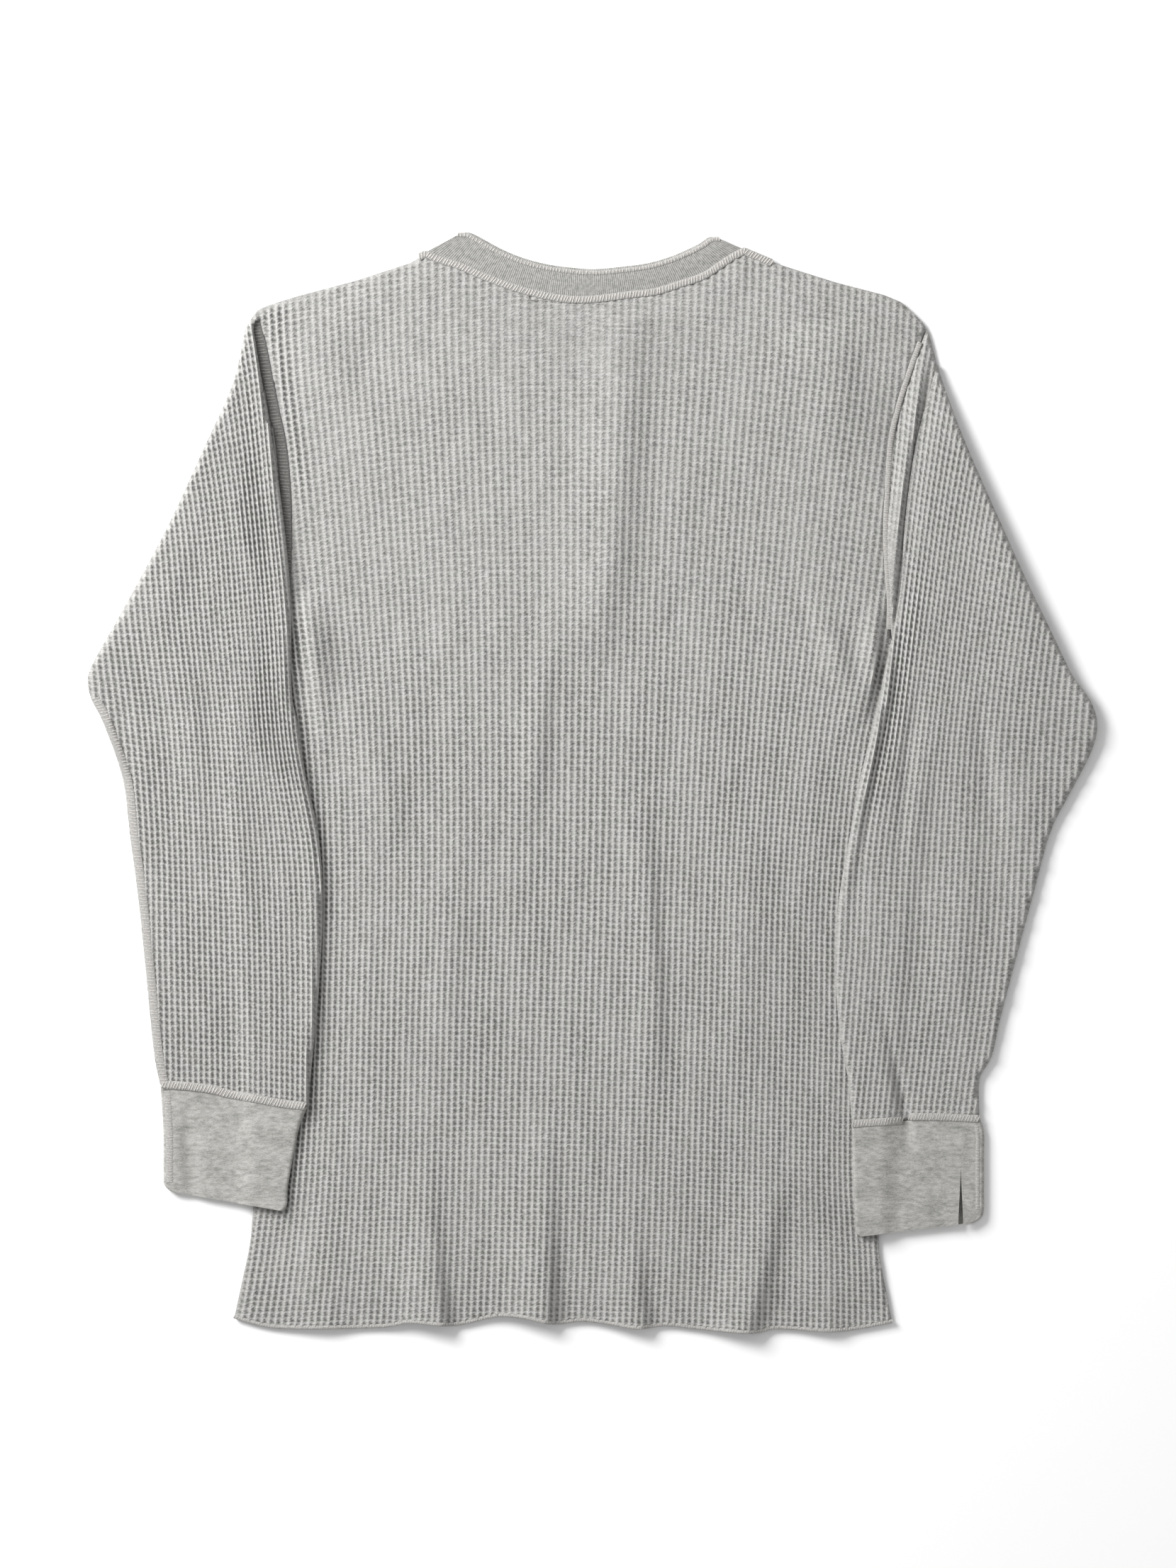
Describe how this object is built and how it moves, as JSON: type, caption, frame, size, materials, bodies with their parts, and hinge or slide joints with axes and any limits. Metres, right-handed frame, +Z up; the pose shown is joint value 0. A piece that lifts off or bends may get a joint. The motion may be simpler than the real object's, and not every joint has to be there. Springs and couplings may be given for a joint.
{
  "type": "thermal top",
  "caption": "Long-sleeved waffle-knit thermal top laid flat with its back up, sleeves folded over the sides of the body.",
  "frame": {"origin": "middle of the part's box, on the surface that the garment lies on", "axes": "+Y from the hem to the neck, +X across the garment towards its right sleeve as seen from above, +Z up from the surface"},
  "size_m": [0.67, 0.7312, 0.0116],
  "materials": {
    "waffle": "heather grey cotton waffle knit, matt",
    "jersey": "heather grey brushed jersey, matt",
    "rib": "heather grey fine rib knit, matt"
  },
  "bodies": {
    "root": {"back_panel": "waffle", "front_panel": "waffle", "sleeve_left": "waffle", "sleeve_right": "waffle", "cuff_left": "jersey", "cuff_right": "jersey", "neckband_back": "rib", "neckband_front": "rib"}
  },
  "joints": []
}
